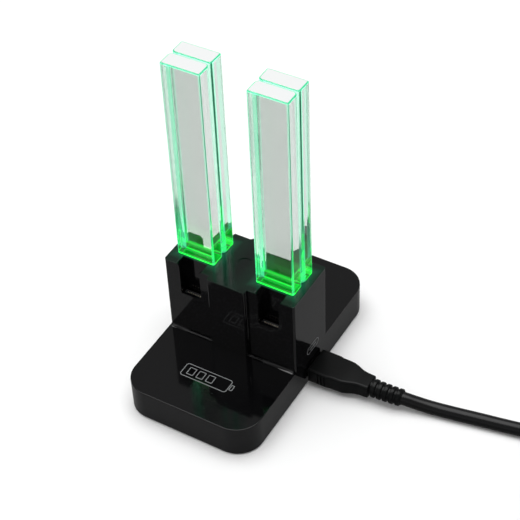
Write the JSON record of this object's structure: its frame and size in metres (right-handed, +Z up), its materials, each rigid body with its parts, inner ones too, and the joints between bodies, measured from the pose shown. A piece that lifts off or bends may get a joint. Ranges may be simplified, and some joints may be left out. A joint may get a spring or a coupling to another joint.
{
  "type": "game controller charging dock",
  "caption": "Charging dock with a rounded base, a tower with rail slots on both faces, two edge-lit clear columns and a plugged-in USB lead coiled beside it.",
  "frame": {"origin": "bottom centre of the dock's footprint on the table", "axes": "+X from the left column to the right one and towards the USB lead, -Y the front, +Z up"},
  "size_m": [0.2039, 0.1032, 0.1172],
  "materials": {
    "gloss_black_abs": "piano-gloss moulded ABS",
    "textured_black_abs": "fine spark-textured moulded ABS",
    "rubber_black": "matt pressed silicone rubber",
    "clear_acrylic": "polished clear acrylic, lit from below",
    "white_plastic": "moulded white plastic",
    "board_green": "solder-masked glass epoxy",
    "chip_black": "moulded epoxy",
    "led_green": "clear LED lens",
    "capacitor_sleeve": "shrunk vinyl sleeve",
    "screw_steel": "zinc-plated steel",
    "plug_steel": "nickel-plated formed steel",
    "contact_gold": "gold-flashed spring brass",
    "cord_black": "satin moulded PVC",
    "ribbon_white": "flat flexible cable",
    "tie_fabric": "woven hook-and-loop tape",
    "marking_grey": "thin pad-printed grey ink"
  },
  "bodies": {
    "dock": {"upper_shell": "gloss_black_abs", "bottom_cover": "textured_black_abs", "foot_front_left": "rubber_black", "foot_front_right": "rubber_black", "foot_rear_left": "rubber_black", "foot_rear_right": "rubber_black", "case_screw_front_left": "screw_steel", "case_screw_front_right": "screw_steel", "case_screw_rear_left": "screw_steel", "case_screw_rear_right": "screw_steel", "light_bar_front_left": "clear_acrylic", "light_bar_front_right": "clear_acrylic", "light_bar_rear_left": "clear_acrylic", "light_bar_rear_right": "clear_acrylic", "bar_holder": "white_plastic", "light_board": "board_green", "led_front_left": "led_green", "led_front_right": "led_green", "led_rear_left": "led_green", "led_rear_right": "led_green", "light_board_screw": "screw_steel", "contact_block_front_left": "textured_black_abs", "contact_block_front_right": "textured_black_abs", "contact_block_rear_left": "textured_black_abs", "contact_block_rear_right": "textured_black_abs", "contact_board": "board_green", "contact_board_screw_front": "screw_steel", "contact_board_screw_rear": "screw_steel", "main_board": "board_green", "main_board_screw_front": "screw_steel", "main_board_screw_rear": "screw_steel", "charge_chip_1": "chip_black", "charge_chip_2": "chip_black", "charge_chip_3": "chip_black", "charge_chip_4": "chip_black", "input_capacitor": "capacitor_sleeve", "power_inductor": "chip_black", "ribbon_to_light_board": "ribbon_white", "ribbon_to_contact_board": "ribbon_white", "usb_socket_shell": "plug_steel", "usb_socket_tongue": "chip_black"},
    "contacts_front_left": {"contact_pins_front_left": "contact_gold"},
    "contacts_front_right": {"contact_pins_front_right": "contact_gold"},
    "contacts_rear_left": {"contact_pins_rear_left": "contact_gold"},
    "contacts_rear_right": {"contact_pins_rear_right": "contact_gold"},
    "lead": {"usb_c_plug_shell": "plug_steel", "usb_c_plug_grip": "cord_black", "usb_cord_lead": "cord_black", "usb_cord_coil": "cord_black", "usb_cord_tail": "cord_black", "cord_tie": "tie_fabric", "usb_a_grip": "cord_black", "usb_a_shell": "plug_steel", "usb_a_tongue": "white_plastic"}
  },
  "joints": [
    {"name": "contacts_front_left_press", "type": "slide", "parent": "dock", "child": "contacts_front_left", "axis": [0, 0, -1], "range_m": [0, 0.0004], "stiffness_N_per_m": 2500},
    {"name": "contacts_front_right_press", "type": "slide", "parent": "dock", "child": "contacts_front_right", "axis": [0, 0, -1], "range_m": [0, 0.0004], "stiffness_N_per_m": 2500},
    {"name": "contacts_rear_left_press", "type": "slide", "parent": "dock", "child": "contacts_rear_left", "axis": [0, 0, -1], "range_m": [0, 0.0004], "stiffness_N_per_m": 2500},
    {"name": "contacts_rear_right_press", "type": "slide", "parent": "dock", "child": "contacts_rear_right", "axis": [0, 0, -1], "range_m": [0, 0.0004], "stiffness_N_per_m": 2500},
    {"name": "usb_plug_pull", "type": "slide", "parent": "dock", "child": "lead", "axis": [1, 0, 0], "range_m": [0, 0.0066]}
  ]
}
